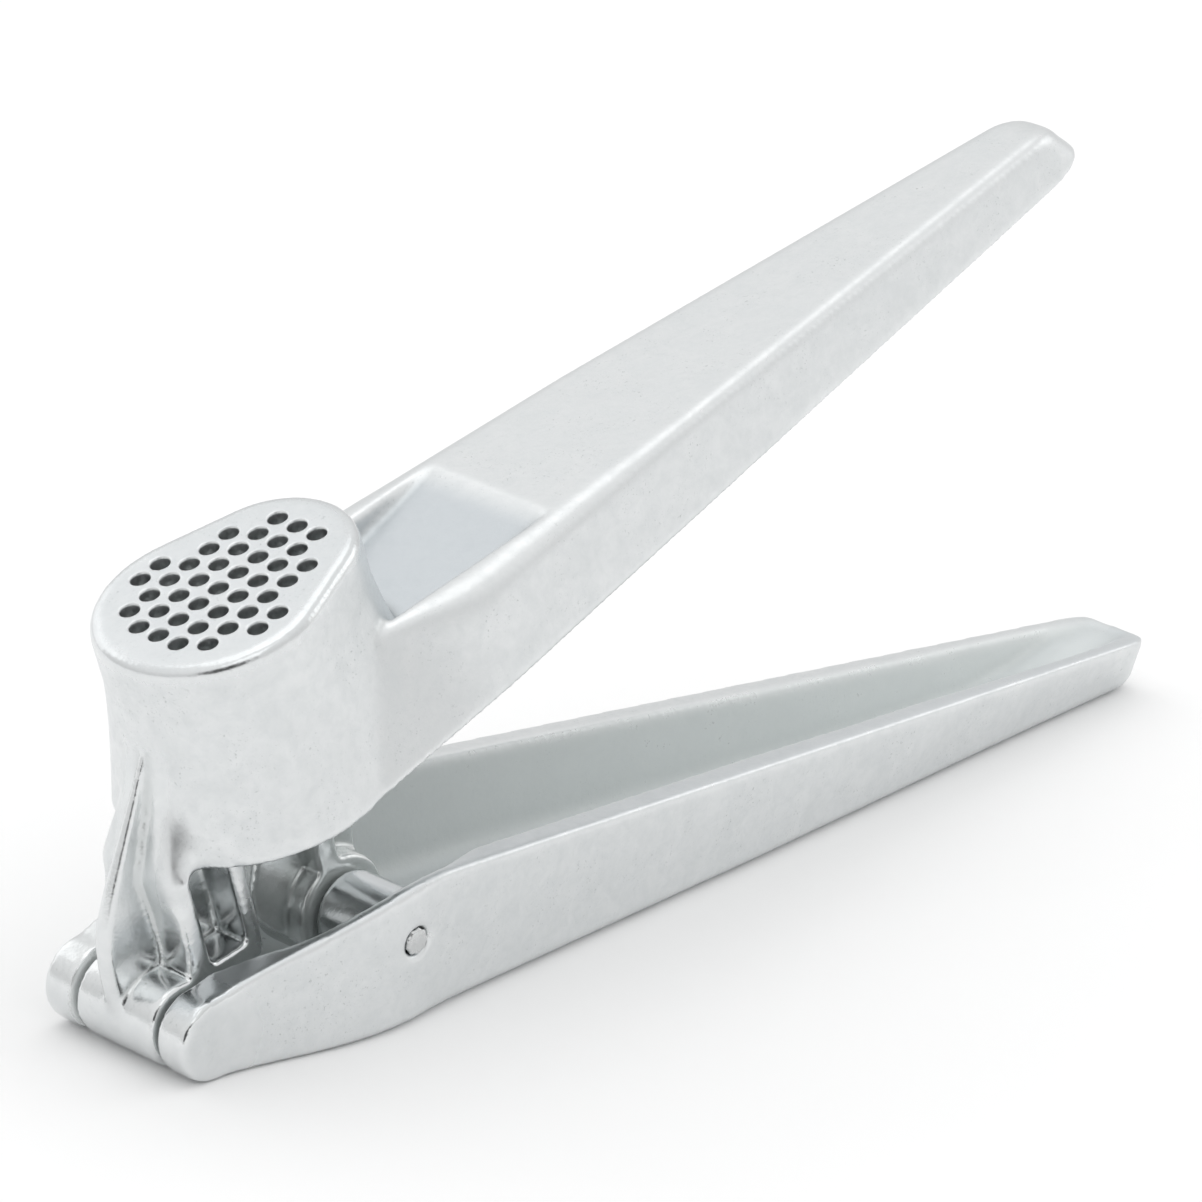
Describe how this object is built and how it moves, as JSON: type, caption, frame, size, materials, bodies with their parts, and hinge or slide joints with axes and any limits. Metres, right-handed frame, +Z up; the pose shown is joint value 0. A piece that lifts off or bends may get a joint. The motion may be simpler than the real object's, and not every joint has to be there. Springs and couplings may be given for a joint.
{
  "type": "garlic press",
  "caption": "Cast-aluminium garlic press: a hinged cup with a perforated grid and a swinging plunger between tapered handles.",
  "frame": {"origin": "centre of the object's footprint, on the surface it lies on", "axes": "+X from the hinge toward the handle tips, +Y across the press along the hinge pin, +Z up"},
  "size_m": [0.1744, 0.0334, 0.0788],
  "materials": {
    "cast_aluminium": "tumbled casting, satin, bright on the edges",
    "plunger_aluminium": "satin casting",
    "pin_metal": "drawn rod, satin"
  },
  "bodies": {
    "plunger_handle": {"plunger_handle": "cast_aluminium", "hinge_pin": "pin_metal", "plunger_pin": "pin_metal"},
    "hopper_handle": {"hopper_handle": "cast_aluminium"},
    "plunger": {"plunger": "plunger_aluminium"}
  },
  "joints": [
    {"name": "hinge", "type": "hinge", "parent": "plunger_handle", "child": "hopper_handle", "pos_m": [-0.07995, 0, 0.005], "axis": [0, -1, 0], "range_deg": [-22.5, 13.5]},
    {"name": "plunger_swing", "type": "hinge", "parent": "plunger_handle", "child": "plunger", "pos_m": [-0.05395, 0, 0.0107], "axis": [0, -1, 0], "range_deg": [-22.5, 13.5]}
  ],
  "couplings": [
    {"joint": "plunger_swing", "follows": "hinge", "ratio": 1}
  ]
}
